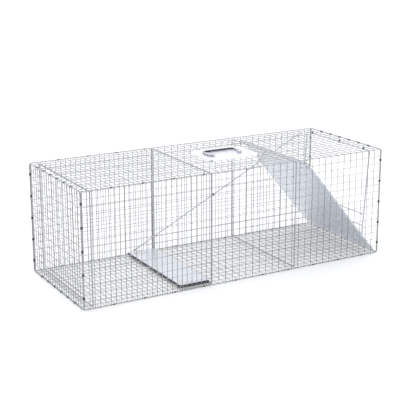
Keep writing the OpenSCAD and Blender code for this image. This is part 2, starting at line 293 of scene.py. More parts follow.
class Signal:
    """A socket or a number that takes part in shader sums."""

    def __init__(self, tree: bpy.types.NodeTree, source: Any) -> None:
        """Keeps the tree to add nodes to, and the socket or number."""
        self.tree = tree
        self.source = source

    def _math(self, operation: str, left: Any, right: Any) -> "Signal":
        """Adds one Math node for left and right and gives its result.

        Args:
            operation: The node's operation.
            left: Its first signal or number.
            right: Its second.

        Returns:
            The result as a signal.
        """
        node = self.tree.nodes.new("ShaderNodeMath")
        node.operation = operation
        for socket, value in zip(node.inputs, (left, right)):
            value = value.source if isinstance(value, Signal) else value
            if isinstance(value, bpy.types.NodeSocket):
                self.tree.links.new(value, socket)
            else:
                socket.default_value = value
        return Signal(self.tree, node.outputs[0])

    def __add__(self, other: Any) -> "Signal":
        """self + other."""
        return self._math("ADD", self, other)

    __radd__ = __add__

    def __sub__(self, other: Any) -> "Signal":
        """self - other."""
        return self._math("SUBTRACT", self, other)

    def __rsub__(self, other: Any) -> "Signal":
        """other - self."""
        return self._math("SUBTRACT", other, self)

    def __mul__(self, other: Any) -> "Signal":
        """self * other."""
        return self._math("MULTIPLY", self, other)

    __rmul__ = __mul__


class Shader:
    """A material's node tree, with short ways to add to it."""

    def __init__(self, name: str) -> None:
        """Starts a material with one Principled shader."""
        self.material = bpy.data.materials.new(name)
        self.material.use_nodes = True
        self.tree = self.material.node_tree
        self.surface = self.tree.nodes["Principled BSDF"]

    def node(self, kind: str, settings: dict[str, Any] | None = None, **inputs: Any) -> bpy.types.Node:
        """Adds a node.

        Args:
            kind: The node's type.
            settings: Its own settings, set before its sockets.
            inputs: Values or links for its sockets, by name, with _ for a space.

        Returns:
            The node.
        """
        made = self.tree.nodes.new(kind)
        for key, value in (settings or {}).items():
            setattr(made, key, value)
        for key, value in inputs.items():
            self.set(made.inputs[key.replace("_", " ")], value)
        return made

    def set(self, socket: bpy.types.NodeSocket, value: Any) -> None:
        """Links a signal or socket to a socket, or writes a value on it."""
        value = value.source if isinstance(value, Signal) else value
        if isinstance(value, bpy.types.NodeSocket):
            self.tree.links.new(value, socket)
        else:
            socket.default_value = value

    def place(self) -> bpy.types.NodeSocket:
        """The point's place in the row frame."""
        return self.node("ShaderNodeTexCoord").outputs["Object"]

    def noise(self, scale: float, detail: float = 2.0, stretch: Sequence[float] = (1, 1, 1)) -> Signal:
        """Smooth noise from 0 to 1 at scale per metre, stretched along the axes."""
        spot = self.node("ShaderNodeMapping", Vector=self.place(), Scale=tuple(stretch))
        made = self.node("ShaderNodeTexNoise", Vector=spot.outputs[0], Scale=scale, Detail=detail)
        return Signal(self.tree, made.outputs["Fac"])

    def cells(self, scale: float) -> Signal:
        """A random number from 0 to 1 for each crystal-like cell, scale cells per metre."""
        made = self.node("ShaderNodeTexVoronoi", {"feature": "F1"}, Vector=self.place(), Scale=scale)
        parts = self.node("ShaderNodeSeparateColor", Color=made.outputs["Color"])
        return Signal(self.tree, parts.outputs[0])

    def tone(self) -> Signal:
        """The piece's tone attribute, the shade number through which shade is painted into its colour."""
        made = self.node("ShaderNodeAttribute", {"attribute_name": "tone"})
        return Signal(self.tree, made.outputs["Fac"])

    def blend(self, factor: Signal, low: Any, high: Any) -> bpy.types.NodeSocket:
        """A colour between low and high, which are colours or sockets, as factor goes from 0 to 1."""
        made = self.node("ShaderNodeMix", {"data_type": "RGBA"})
        self.set(made.inputs[0], factor)
        for place, colour in ((6, low), (7, high)):
            linked = isinstance(colour, bpy.types.NodeSocket)
            self.set(made.inputs[place], colour if linked else (*colour, 1.0))
        return made.outputs[2]

    def bump(self, height: Signal, depth: float) -> None:
        """Bumps the surface by height, depth metres from 0 to 1."""
        made = self.node("ShaderNodeBump", Strength=0.6, Distance=depth, Height=height)
        self.set(self.surface.inputs["Normal"], made.outputs[0])


@dataclass(frozen=True)
class MetalFinish:
    """A zinc-coated metal.

    Attributes:
        name: The material's name.
        dark: Colour of its darker patches and crystals, and of low tones, which on mesh wires are painted
            shade.
        bright: Colour of its lighter patches and crystals, and of high tones, which on mesh wires are painted
            light.
        metallic: How metallic it is.
        rough_low: Roughness of its smoothest patches.
        rough_high: Roughness of its dullest patches.
        crystals: Crystal cells per metre, 0 for none.
        lip: Colour of painted shade on its turned edges, where the piece's tone is 0, or None.
        grain: Bump depth in metres.
    """

    name: str
    dark: tuple[float, float, float]
    bright: tuple[float, float, float]
    metallic: float
    rough_low: float
    rough_high: float
    crystals: float = 0.0
    lip: tuple[float, float, float] | None = None
    grain: float = 0.00002

    def build(self) -> bpy.types.Material:
        """Builds the material.

        Returns:
            A material whose colour and roughness follow patches, crystals and the piece's tone; the tone
            paints shade into the colour.
        """
        shader = Shader(self.name)
        patches = shader.noise(22.0, 3.0)
        fine = shader.noise(900.0, 2.0)
        # Without crystals the tone sets most of the colour: painted shade on upright mesh wires, painted
        # light on level ones
        mask = patches * 0.2 + shader.tone() * 0.8
        if self.crystals:
            mask = patches * 0.35 + shader.cells(self.crystals) * 0.45 + fine * 0.2
        colour = shader.blend(mask, self.dark, self.bright)
        # Turned edges, where the tone is 0, get the lip colour: a painted shade
        if self.lip:
            colour = shader.blend(shader.tone(), self.lip, colour)
        shader.set(shader.surface.inputs["Base Color"], colour)
        rough = self.rough_high - mask * (self.rough_high - self.rough_low)
        shader.set(shader.surface.inputs["Roughness"], rough)
        shader.surface.inputs["Metallic"].default_value = self.metallic
        shader.bump(fine, self.grain)
        return shader.material


class Finish(Enum):
    """The trap's finishes, by what they are on."""

    # Mesh wire: the tone picks a painted shade colour for upright wires and a painted light colour for level
    # ones
    MESH_WIRE = MetalFinish("zinc_mesh_wire", (0.20, 0.20, 0.205), (0.74, 0.74, 0.75), 0.8, 0.28, 0.46)
    HOOP_WIRE = MetalFinish("zinc_hoop_wire", (0.30, 0.30, 0.31), (0.52, 0.52, 0.53), 0.85, 0.24, 0.40)
    ROD_WIRE = MetalFinish("zinc_rod_wire", (0.44, 0.44, 0.45), (0.70, 0.70, 0.71), 0.85, 0.22, 0.36)
    SHEET = MetalFinish(
        "galvanised_sheet", (0.62, 0.66, 0.71), (0.76, 0.80, 0.85), 0.85, 0.20, 0.34, CRYSTALS
    )
    # The pan's last colour is painted shade for its turned edges
    PAN = MetalFinish(
        "treadle_sheet", (0.68, 0.71, 0.76), (0.80, 0.83, 0.88), 0.7, 0.24, 0.38, CRYSTALS, (0.09, 0.10, 0.12)
    )
    PLATE = MetalFinish(
        "pale_zinc_plate", (0.80, 0.80, 0.88), (0.88, 0.88, 0.95), 0.25, 0.34, 0.46, CRYSTALS
    )
    CLIP = MetalFinish("dull_clip_steel", (0.07, 0.07, 0.08), (0.16, 0.16, 0.17), 0.8, 0.34, 0.5)
    HANDLE = MetalFinish("handle_rod_steel", (0.05, 0.06, 0.07), (0.62, 0.64, 0.66), 0.9, 0.2, 0.34)


class Wardrobe:
    """Builds each finish once and puts it on pieces."""

    def __init__(self) -> None:
        """Starts with nothing built."""
        self._made: dict[Finish, bpy.types.Material] = {}

    def material(self, finish: Finish) -> bpy.types.Material:
        """The finish's material, built at its first use."""
        if finish not in self._made:
            self._made[finish] = finish.value.build()
        return self._made[finish]

    def dress(self, piece: bpy.types.Object, finish: Finish) -> None:
        """Gives a piece one finish."""
        piece.data.materials.clear()
        piece.data.materials.append(self.material(finish))

    def fit(self, piece: bpy.types.Object, finish: Finish, body: str, slot: str, *nodes: str) -> None:
        """Dresses a new piece and puts it in the place of CAD nodes.

        Args:
            piece: The new piece.
            finish: What it is finished in.
            body: The CAD body it rides on.
            slot: The record's material slot; not used.
            nodes: The CAD nodes it stands for.
        """
        self.dress(piece, finish)
        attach(piece, body)
        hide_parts(*nodes)
        LOG.info("%s: %d points, rides on %s", piece.name, len(piece.data.vertices), body)


# ---- shared sizes


@dataclass(frozen=True)
class Gauge:
    """Wire sizes and the mesh's counts, the same as the frame's.

    Attributes:
        mesh: Radius of a mesh wire.
        edge: Radius of a panel's edge wire.
        hoop: Radius of the hoops and end wires.
        panel_bend: Bend radius of the panels' edge wires and of the hoops.
        end_bend: Bend radius of the wires round the cage's two ends.
        tail: Length of each mesh wire past its edge wire's middle.
        dip: How far a wire sinks towards the other layer at a weld.
        layer: Distance of each layer of mesh wires from the panel's middle plane.
        cells: Cells across the width and up the height.
        front_columns: Cells along the front section.
        rear_columns: Cells along the rear section.
        end_columns: Cells across the rear end.
    """

    mesh: float = 0.001
    edge: float = 0.00125
    hoop: float = 0.002
    panel_bend: float = 0.005
    end_bend: float = 0.008
    tail: float = 0.0009
    dip: float = 0.00016
    layer: float = 0.001005
    cells: int = 15
    front_columns: int = 26
    rear_columns: int = 25
    end_columns: int = 22


GAUGE = Gauge()


def node_box(node: str) -> tuple[Array, Array]:
    """A CAD node's lowest and highest corners as arrays."""
    low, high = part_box(node)
    return np.array(low), np.array(high)


def stations(start: float, welds: Array, end: float) -> tuple[Array, Array]:
    """A mesh wire's stations, three to a weld, and how far it dips at each, from 0 to 1.

    Args:
        start: Where the wire begins.
        welds: Where it meets the wires of the other layer.
        end: Where it ends.

    Returns:
        The positions along the wire and the dips.
    """
    spots = (welds[:, None] + (welds[1] - welds[0]) * np.array([-0.3, 0.0, 0.3])).ravel()
    dips = np.tile([0.0, 1.0, 0.0], len(welds))
    return np.concatenate([[start], spots, [end]]), np.concatenate([[0.0], dips, [0.0]])


def joint_named(frame: dict[str, Any], name: str) -> dict[str, Any]:
    """The joint of that name from the frame."""
    return next(j for j in frame["joints"] if j["name"] == name)


# ---- cage


class Face(Enum):
    """The cage's long faces: the axis across each face, its normal axis, and the way to the inside."""

    RIGHT = (2, 1, 1.0)
    LEFT = (2, 1, -1.0)
    ROOF = (1, 2, -1.0)
    FLOOR = (1, 2, 1.0)


@dataclass
class MeshPanel:
    """One flat face of welded mesh with its edge wire.

    Attributes:
        node: The CAD node it stands for.
        face: Which long face it is.
        columns: Cells along its length.
        seed: Seed of its small irregularities.
        span: Distance across the cage, or up it, between the middle planes of the faces beside it.
        bow: How far the middle of the face stands off flat, but not the floor.
        wander: How far a wire strays sideways between welds.
        lean: How far the middle of a wire strays sideways.
        lift: How far a wire strays off its layer.
    """

    node: str
    face: Face
    columns: int
    seed: int
    span: float
    bow: float = 0.0008
    wander: float = 0.00012
    lean: float = 0.00025
    lift: float = 0.00005

    def build(self) -> Surface:
        """Builds the panel.

        Lengthwise wires lie on the inner layer and crosswise wires on the outer one. Each wire dips
        by dip towards the other layer at every weld and is back at its own layer 0.3 of a cell away.
        It wanders a little between welds, and follows the panel's shared bow:
        bow * sin(pi a) * sin(pi b) * sin(5 a + phase), with a and b from 0 to 1 over the panel.

        Returns:
            The panel's wires as one surface.
        """
        rng = np.random.default_rng(self.seed)
        across, normal, inside = self.face.value
        low, high = node_box(self.node)
        x0, x1 = low[0] + GAUGE.edge, high[0] - GAUGE.edge
        c0, c1 = low[across] + GAUGE.edge, high[across] - GAUGE.edge
        plane = (low[normal] + high[normal]) / 2
        middle = (c0 + c1) / 2
        bow = 0.0 if self.face is Face.FLOOR else self.bow
        phase = rng.uniform(0, TAU)

        def raise_to(x: Array, c: Array, off: Array | float) -> Array:
            """Points at x and c on the panel, off metres inward of its middle plane.

            Args:
                x: Positions along the cage.
                c: Positions across the face.
                off: Distances inward.

            Returns:
                The points.
            """
            a, b = (x - x0) / (x1 - x0), (c - c0) / (c1 - c0)
            ripple = bow * np.sin(math.pi * np.clip(a, 0, 1)) * np.sin(math.pi * np.clip(b, 0, 1))
            out = np.zeros((*x.shape, 3))
            out[..., 0], out[..., across] = x, c
            out[..., normal] = plane + inside * (off + ripple * np.sin(5 * a + phase))
            return out

        x_cross = x0 + (x1 - x0) * np.arange(1, self.columns) / self.columns
        c_long = middle - self.span / 2 + self.span * np.arange(1, GAUGE.cells) / GAUGE.cells
        tail = GAUGE.tail
        long_wires = self._layer(rng, x_cross, x0 - tail, x1 + tail, c_long, GAUGE.layer, False, raise_to)
        cross_wires = self._layer(rng, c_long, c0 - tail, c1 + tail, x_cross, -GAUGE.layer, True, raise_to)
        line = np.zeros((4, 3))
        line[:, 0], line[:, across] = (x0, x1, x1, x0), (c0, c0, c1, c1)
        line[:, normal] = plane
        side = np.eye(3)[normal]
        edge = one_wire(line, GAUGE.edge, GAUGE.panel_bend, side, closed=True, count=10)
        return Surface.join([long_wires, cross_wires, edge])

    def _layer(self, rng: np.random.Generator, welds: Array, start: float, end: float, places: Array,
               height: float, crosswise: bool, raise_to: Any) -> Surface:
        """One layer of straight wires with a dip at each weld.

        Args:
            rng: Where the irregularities come from.
            welds: Positions along a wire where it meets the other layer.
            start: Where each wire begins.
            end: Where each wire ends.
            places: The position of each wire.
            height: The layer's distance inward of the middle plane.
            crosswise: Whether the wires run across the panel.
            raise_to: Puts positions on the panel into the row frame.

        Returns:
            The layer's wires.
        """
        along, dips = stations(start, welds, end)
        wires = len(places)
        wander = rng.normal(0, self.wander, (wires, len(along))) * (1 - dips)
        lean = rng.normal(0, self.lean, (wires, 1)) * np.sin(np.linspace(0, math.pi, len(along)))
        run = np.broadcast_to(along, (wires, len(along)))
        stand = places[:, None] + wander + lean
        off = height - np.sign(height) * dips * GAUGE.dip + rng.normal(0, self.lift, run.shape)
        paths = raise_to(stand, run, off) if crosswise else raise_to(run, stand, off)
        side = np.eye(3)[self.face.value[1]]
        # The side panels' crosswise wires stand upright and get darker tones as painted shade; all other
        # wires get lighter tones as painted light
        shaded_upright = crosswise and self.face in (Face.RIGHT, Face.LEFT)
        return round_wires(paths, GAUGE.mesh, side, 7, tone=rng.uniform(*(SHADED_TONES if shaded_upright else LIT_TONES), wires))


@dataclass
class Cage:
    """The cage: eight long panels, the rear end, the hoops and the front rim.

    Attributes:
        end_wander: How far the rear end's wires stray sideways.
    """

    wardrobe: Wardrobe
    end_wander: float = 0.00014

    def build(self) -> None:
        """Builds and dresses every fixed wire of the cage."""
        low, high = node_box("right_side_front")
        height = high[2] - low[2] - 2 * GAUGE.edge
        width = 2 * (node_box("front_rim")[1][1] - GAUGE.hoop)
        faces = {"right_side": Face.RIGHT, "left_side": Face.LEFT, "roof": Face.ROOF, "floor": Face.FLOOR}
        for number, (name, face) in enumerate(faces.items()):
            for part, columns in (("front", GAUGE.front_columns), ("rear", GAUGE.rear_columns)):
                node = f"{name}_{part}"
                span = height if face in (Face.RIGHT, Face.LEFT) else width
                panel = MeshPanel(node, face, columns, 11 + 2 * number + (part == "rear"), span)
                self._fit(make_piece(node + "_mesh", panel.build()), Finish.MESH_WIRE, node)
        self._fit(make_piece("rear_end_mesh", self._rear_end()), Finish.MESH_WIRE, "rear_end")
        for node in ("rear_hoop", "seam_hoop", "door_hoop", "front_rim"):
            bend = GAUGE.end_bend if node == "front_rim" else GAUGE.panel_bend
            piece = make_piece(node + "_wire", self._loop(node, bend))
            self._fit(piece, Finish.HOOP_WIRE, node)

    def _fit(self, piece: bpy.types.Object, finish: Finish, node: str) -> None:
        """Puts a wire piece in the place of its node."""
        self.wardrobe.fit(piece, finish, "cage", "galvanised_wire", node)

    @staticmethod
    def _square(node: str) -> tuple[float, float, float, float]:
        """Where the wire of a square loop runs: its x, its half width, and its lowest and highest z."""
        low, high = node_box(node)
        return (low[0] + high[0]) / 2, high[1] - GAUGE.hoop, low[2] + GAUGE.hoop, high[2] - GAUGE.hoop

    def _loop(self, node: str, bend: float) -> Surface:
        """A square loop of thick wire across the cage, in the middle of its node's box."""
        x, y, z0, z1 = self._square(node)
        corners = [(x, -y, z0), (x, y, z0), (x, y, z1), (x, -y, z1)]
        return one_wire(corners, GAUGE.hoop, bend, (1, 0, 0), True)

    def _rear_end(self) -> Surface:
        """The rear end: a thick square loop with upright wires behind and level wires in front.

        Returns:
            Its wires as one surface.
        """
        rng = np.random.default_rng(5)
        x, y, z0, z1 = self._square("rear_end")
        uprights = -y + 2 * y * np.arange(1, GAUGE.end_columns) / GAUGE.end_columns
        levels = z0 + (z1 - z0) * np.arange(1, GAUGE.cells) / GAUGE.cells

        def layer(places: Array, welds: Array, ends: tuple[float, float], axis: int, off: float,
                  shade: tuple[float, float]) -> Surface:
            """Wires along axis at places, with a dip at each weld.

            Args:
                places: The position of each wire.
                welds: Positions along a wire where it meets the other layer.
                ends: Where each wire begins and ends.
                axis: The axis it runs along.
                off: The layer's distance from the middle plane.
                shade: Lowest and highest tone.

            Returns:
                The layer's wires.
            """
            along, dips = stations(ends[0], welds, ends[1])
            paths = np.zeros((len(places), len(along), 3))
            paths[..., 0] = x + off - np.sign(off) * dips * GAUGE.dip
            paths[..., axis] = along
            paths[..., 3 - axis] = places[:, None] + rng.normal(0, self.end_wander, (len(places), len(along)))
            return round_wires(paths, GAUGE.mesh, (1, 0, 0), 7, tone=rng.uniform(*shade, len(places)))

        # Uprights get darker tones as painted shade, level wires get lighter tones as painted light
        return Surface.join([
            self._loop("rear_end", GAUGE.end_bend),
            layer(uprights, levels, (z0, z1), 2, -GAUGE.layer, SHADED_TONES),
            layer(levels, uprights, (-y, y), 1, GAUGE.layer, LIT_TONES),
        ])


# ---- folded sheet


@dataclass
class Fold:
    """A profile across a folded sheet, seen from its edge.

    Attributes:
        run: Positions across the sheet.
        rise: Heights above the flat.
        flat: Which points lie on the flat, for masking at corners.
    """

    run: Array
    rise: Array
    flat: Array


def lip_profile(half: float, lip: float, bend: float, stops: Sequence[float]) -> Fold:
    """A channel's profile: a flat with a lip turned up at each side.

    The bend is a quarter circle: run = edge - bend + bend sin a, rise = bend - bend cos a.

    Args:
        half: Half the distance between the lips' middles.
        lip: Height of the lips, negative to turn them down.
        bend: Bend radius at the middle of the sheet.
        stops: Positions on the flat that need a row of points.

    Returns:
        The profile, from -half to half.
    """
    sign = math.copysign(1.0, lip)
    a = np.linspace(0, math.pi / 2, 5)[1:]
    turn_run, turn_rise = half - bend + bend * np.sin(a), sign * (bend - bend * np.cos(a))
    flat = np.unique(np.concatenate([np.linspace(-(half - bend), half - bend, 9), np.asarray(stops, float)]))
    run = np.concatenate([[-half], -turn_run[::-1], flat, turn_run, [half]])
    rise = np.concatenate([[lip], turn_rise[::-1], np.zeros(len(flat)), turn_rise, [lip]])
    on_flat = np.concatenate([[False] * 5, [True] * len(flat), [False] * 5])
    return Fold(run, rise, on_flat)


@dataclass
class FoldedSheet:
    """A sheet folded along both directions, with its corners cut away.

    Attributes:
        length: Profile along the sheet.
        width: Profile across the sheet.
        holes: Rectangles cut out of it, as (low run, high run, low cross, high cross).
    """

    length: Fold
    width: Fold
    holes: Sequence[tuple[float, float, float, float]] = ()

    def build(self) -> Surface:
        """Builds the middle surface.

        A point is (run of the length profile, run of the width profile, sum of both rises). A face is
        left out where both profiles are off their flats, and inside the holes. The tone is 1 on the
        flat and 0 on the turned edges, which a finish with a lip colour darkens with painted shade.

        Returns:
            The open surface, which a Solidify modifier thickens.
        """
        u, v = self.length, self.width
        rows, columns = len(u.run), len(v.run)
        points = np.zeros((rows, columns, 3))
        points[..., 0], points[..., 1] = u.run[:, None], v.run[None, :]
        points[..., 2] = u.rise[:, None] + v.rise[None, :]
        flat_u, flat_v = u.flat[:-1] & u.flat[1:], v.flat[:-1] & v.flat[1:]
        keep = flat_u[:, None] | flat_v[None, :]
        mid_u, mid_v = (u.run[:-1] + u.run[1:]) / 2, (v.run[:-1] + v.run[1:]) / 2
        for low_u, high_u, low_v, high_v in self.holes:
            inside_u = (mid_u > low_u) & (mid_u < high_u)
            inside_v = (mid_v > low_v) & (mid_v < high_v)
            keep &= ~(inside_u[:, None] & inside_v[None, :])
        tone = (u.flat[:, None] & v.flat[None, :]).astype(float)
        quads = lattice(rows, columns)[keep.ravel()]
        return only_used(Surface(points.reshape(-1, 3), quads, tone=tone.ravel()))


def only_used(surface: Surface) -> Surface:
    """The surface without the points that no face uses."""
    used = np.zeros(len(surface.points), bool)
    used[surface.quads.ravel()] = True
    number = np.cumsum(used) - 1
    return Surface(surface.points[used], number[surface.quads], tone=surface.shade()[used])


def thicken(piece: bpy.types.Object, thickness: float, bevel: float = 0.0) -> None:
    """Gives an open surface its wall, and softens its cut edges.

    Args:
        piece: The piece to thicken.
        thickness: Full thickness, half to each side.
        bevel: Width of the edge bevel, 0 for none.
    """
    wall = piece.modifiers.new("wall", "SOLIDIFY")
    wall.thickness = thickness
    wall.offset = 0.0
    if bevel:
        soft = piece.modifiers.new("soft_edges", "BEVEL")
        soft.width = bevel
        soft.segments = 2
        soft.limit_method = "ANGLE"
        soft.angle_limit = math.radians(50)


def turn_about_y(surface: Surface, degrees: float, origin: Sequence[float]) -> Surface:
    """Tips a surface's +X down by degrees about the Y axis, then moves its origin."""
    turn = np.array(Matrix.Rotation(math.radians(degrees), 3, "Y"))
    return Surface(surface.points @ turn.T + np.asarray(origin), surface.quads, surface.tris, surface.tone)


# ---- door and lock


@dataclass
class Door:
    """The drop door and its hinge rod.

    Attributes:
        sheet: Thickness of the door's sheet.
        lip: Height of its turned edges.
        rod: Radius of the hinge rod.
        rod_bend: Bend radius where the hinge rod turns down.
        barrel_gap: Distance of the barrel's ends from the door's edges.
        lead: Distance from the hinge to where the turned side edges start.
        fold: Bend radius of the turned edges.
        hook_radius: Distance from the hinge to the trigger hook's place.
        hook_wire: Radius of the trigger hook's wire.
        notch_room: Gaps before and behind the hook in the door's notch.
        notch_depth: Depth of the notch from the door's edge.
    """

    wardrobe: Wardrobe
    frame: dict[str, Any]
    sheet: float = 0.0012
    lip: float = 0.007
    rod: float = 0.0025
    rod_bend: float = 0.0045
    barrel_gap: float = 0.006
    lead: float = 0.0145
    fold: float = 0.0016
    hook_radius: float = 0.256
    hook_wire: float = 0.002
    notch_room: tuple[float, float] = (0.003, 0.0024)
    notch_depth: float = 0.0155

    def build(self) -> None:
        """Builds the door's sheet and the hinge rod."""
        hinge = joint_named(self.frame, "door_swing")
        slope = hinge["range_deg"][1]
        origin = np.array(hinge["pos_m"])
        _, high = node_box("door")
        tilt = math.radians(slope)
        reach = (high[0] - origin[0] - self.lip * math.sin(tilt)) / math.cos(tilt)
        sheet = make_piece("door_sheet", turn_about_y(self._sheet(reach, high[1]), slope, origin), 50)
        thicken(sheet, self.sheet, 0.0003)
        self.wardrobe.fit(sheet, Finish.SHEET, "door_leaf", "galvanised_sheet", "door")
        low, high = node_box("hinge_rod")
        y = high[1] - self.rod
        x, z = origin[0], origin[2]
        corners = [(x, -y, low[2]), (x, -y, z), (x, y, z), (x, y, low[2])]
        rod = make_piece("hinge_rod_wire", one_wire(corners, self.rod, self.rod_bend, (1, 0, 0)))
        self.wardrobe.fit(rod, Finish.ROD_WIRE, "cage", "galvanised_wire", "hinge_rod")

    def _sheet(self, reach: float, half: float) -> Surface:
        """The door's middle surface, level, with its hinge line on the Y axis.

        Along its length the sheet starts as a curl round the rod, run = r cos a and rise = r sin a,
        leaves it flat, and ends in a lip turned up by a quarter circle.

        Args:
            reach: Length of the door from its hinge line.
            half: Half of its width.

        Returns:
            The open surface.
        """
        t = self.sheet
        curl = self.rod + 0.0001 + t
        bend = self.fold
        end = reach - t / 2
        before, behind = self.notch_room
        notch = (self.hook_radius - self.hook_wire - before, self.hook_radius + self.hook_wire + behind)
        a = np.radians(np.linspace(350, 20, 23))
        flat = np.unique(np.concatenate([[curl + t, self.lead], np.linspace(0.03, end - bend, 26), notch]))
        tail = np.linspace(0, math.pi / 2, 5)[1:]
        run = np.concatenate([curl * np.cos(a), flat, end - bend + bend * np.sin(tail), [end]])
        lip = self.lip - t / 2
        rise = np.concatenate([curl * np.sin(a), np.zeros(len(flat)), bend - bend * np.cos(tail), [lip]])
        on_flat = np.concatenate([np.zeros(len(a), bool), flat >= self.lead, np.zeros(len(tail) + 1, bool)])
        past = 0.01  # holes at an edge reach this far past it
        margin, inner, beyond = half - self.barrel_gap, half - self.notch_depth, half + past
        width = lip_profile(half - t / 2, lip, bend, (inner, -margin, margin))
        holes = [
            (notch[0], notch[1], inner, beyond),
            (-past, self.lead, margin, beyond),
            (-past, self.lead, -beyond, -margin),
        ]
        return FoldedSheet(Fold(run, rise, on_flat), width, holes).build()


@dataclass
class LockFrame:
    """The wire frame that drops behind the door, with its two crossbars.

    Attributes:
        wire: Radius of the frame's wire.
        leg_y: Distance of its legs from the middle.
        bars: Distances of the crossbars from the pivot.
        bar: Radius of a crossbar.
        bend: Bend radius of its corners.
        length: Length of the legs.
    """

    wardrobe: Wardrobe
    frame: dict[str, Any]
    wire: float = 0.0025
    leg_y: float = 0.19
    bars: tuple[float, float] = (0.232, 0.274)
    bar: float = 0.0021
    bend: float = 0.007
    length: float = 0.314

    def build(self) -> None:
        """Builds the frame hanging down, then leans it back to rest on the door.

        A crossbar swells at its welds to the legs: radius = bar * (1 + 0.22 exp(-(gap / 3 mm)^2)).
        """
        swing = joint_named(self.frame, "lock_swing")
        pivot = np.array(swing["pos_m"])
        low, _ = node_box("lock_frame")
        lean = math.degrees(math.acos((pivot[2] - low[2] - self.wire) / self.length))
        y, r = self.leg_y, self.wire
        corners = [(0, -y, 0), (0, y, 0), (0, y, -self.length), (0, -y, -self.length)]
        loop = one_wire(corners, r, self.bend, (1, 0, 0), True)
        reach = np.linspace(-1, 1, 41)
        swell = self.bar * (1 + 0.22 * np.exp(-(((1 - np.abs(reach)) * y / 0.003) ** 2)))
        level = np.zeros(len(reach))
        bars = [
            round_wires(np.stack([level, y * reach, level - d], 1)[None], swell, (1, 0, 0), 12)
            for d in self.bars
        ]
        surface = turn_about_y(Surface.join([loop, *bars]), lean, pivot)
        piece = make_piece("lock_frame_wire", surface)
        self.wardrobe.fit(piece, Finish.ROD_WIRE, "lock", "galvanised_wire", "lock_frame")


# ---- treadle and trigger


@dataclass
class Treadle:
    """The treadle pan, its cranked pivot wire and the trigger rod.

    Attributes:
        sheet: Thickness of the pan's sheet.
        lip: Depth of its turned edges.
        fold: Bend radius of its turned edges.
        crank_bend: Bend radius of the crank's corners.
        wire: Radius of the pivot wire and the trigger rod.
        slot: Size of a slot in the pan.
        slot_place: Distances of a slot from the pan's rear edge and from the cage's middle.
        crank_gap: Distance of the crank's arm from the trigger rod.
        hook_reach: Length of the trigger rod's hook.
        hook_bend: Bend radius of the hook.
        eye: Radius of the trigger rod's eye.
        eye_wire: Radius of the flattened wire round the eye.
    """

    wardrobe: Wardrobe
    frame: dict[str, Any]
    sheet: float = 0.001
    lip: float = 0.01
    fold: float = 0.0018
    crank_bend: float = 0.003
    wire: float = 0.002
    slot: tuple[float, float] = (0.018, 0.004)
    slot_place: tuple[float, float] = (0.013, 0.1685)
    crank_gap: float = 0.0066
    hook_reach: float = 0.018
    hook_bend: float = 0.004
    eye: float = 0.0035
    eye_wire: float = 0.0014

    def build(self) -> None:
        """Builds the three moving pieces of the trip."""
        self._pan()
        tilt = np.array(joint_named(self.frame, "treadle_tilt")["pos_m"])
        pin = np.array(joint_named(self.frame, "trigger_turn")["pos_m"])
        low, high = node_box("treadle_rod")
        crank_y = pin[1] - self.crank_gap
        corners = [(tilt[0], low[1], tilt[2]), (tilt[0], crank_y, tilt[2]),
                   (pin[0], crank_y, pin[2]), (pin[0], high[1], pin[2])]
        arm = pin - tilt
        side = np.cross((0, 1, 0), (arm[0], 0, arm[2]))
        bends = [0, self.crank_bend, self.crank_bend, 0]
        rod = one_wire(corners, self.wire, bends, side, step=0.01)
        piece = make_piece("treadle_rod_wire", rod)
        self.wardrobe.fit(piece, Finish.ROD_WIRE, "treadle", "galvanised_wire", "treadle_rod")
        self._trigger(pin)

    def _pan(self) -> None:
        """Builds the pan, a tray turned upside down with two slots."""
        low, high = node_box("treadle_pan")
        t = self.sheet
        middle = (low + high) / 2
        half_x, half_y = (high[:2] - low[:2]) / 2 - t / 2
        from_edge, from_middle = self.slot_place
        slot_x = (low[0] + from_edge - middle[0], low[0] + from_edge + self.slot[0] - middle[0])
        rows = [s * from_middle - middle[1] for s in (-1, 1)]
        slot_y = [(r - self.slot[1] / 2, r + self.slot[1] / 2) for r in rows]
        lip = t / 2 - self.lip
        length = lip_profile(half_x, lip, self.fold, slot_x)
        width = lip_profile(half_y, lip, self.fold, [v for pair in slot_y for v in pair])
        holes = [(*slot_x, *pair) for pair in slot_y]
        surface = FoldedSheet(length, width, holes).build()
        surface.points += np.array([middle[0], middle[1], high[2] - t / 2])
        piece = make_piece("treadle_pan_sheet", surface, 50)
        thicken(piece, t, 0.00025)
        # The pan's turned edges, with tone 0, get the finish's painted shade colour
        self.wardrobe.fit(piece, Finish.PAN, "treadle", "galvanised_sheet", "treadle_pan")

    def _trigger(self, pin: Array) -> None:
        """Builds the trigger rod: an eye bent round the crank's pin, a straight rod and a hook.

        Args:
            pin: Middle of the pin, where the rod turns.
        """
        low, high = node_box("trigger_rod")
        top = np.array([high[0] - self.wire, pin[1], high[2] - self.wire])
        along = unit(top - pin)
        up = np.array([-along[2], 0, along[0]])
        a = np.radians(np.arange(0, 360, 15))[:, None]
        ring = pin + self.eye * (np.cos(a) * along + np.sin(a) * up)
        start = pin + along * (self.eye - self.eye_wire)
        hook_end = top - np.array([0, self.hook_reach, 0])
        line = bent_path([start, top, hook_end], [0, self.hook_bend, 0])
        surface = Surface.join([
            round_wires(ring[None], self.eye_wire, (0, 1, 0), 12, closed=True),
            round_wires(spaced(line, 0.015)[None], self.wire, up, 12),
        ])
        piece = make_piece("trigger_rod_wire", surface)
        self.wardrobe.fit(piece, Finish.ROD_WIRE, "trigger", "galvanised_wire", "trigger_rod")


# ---- handle


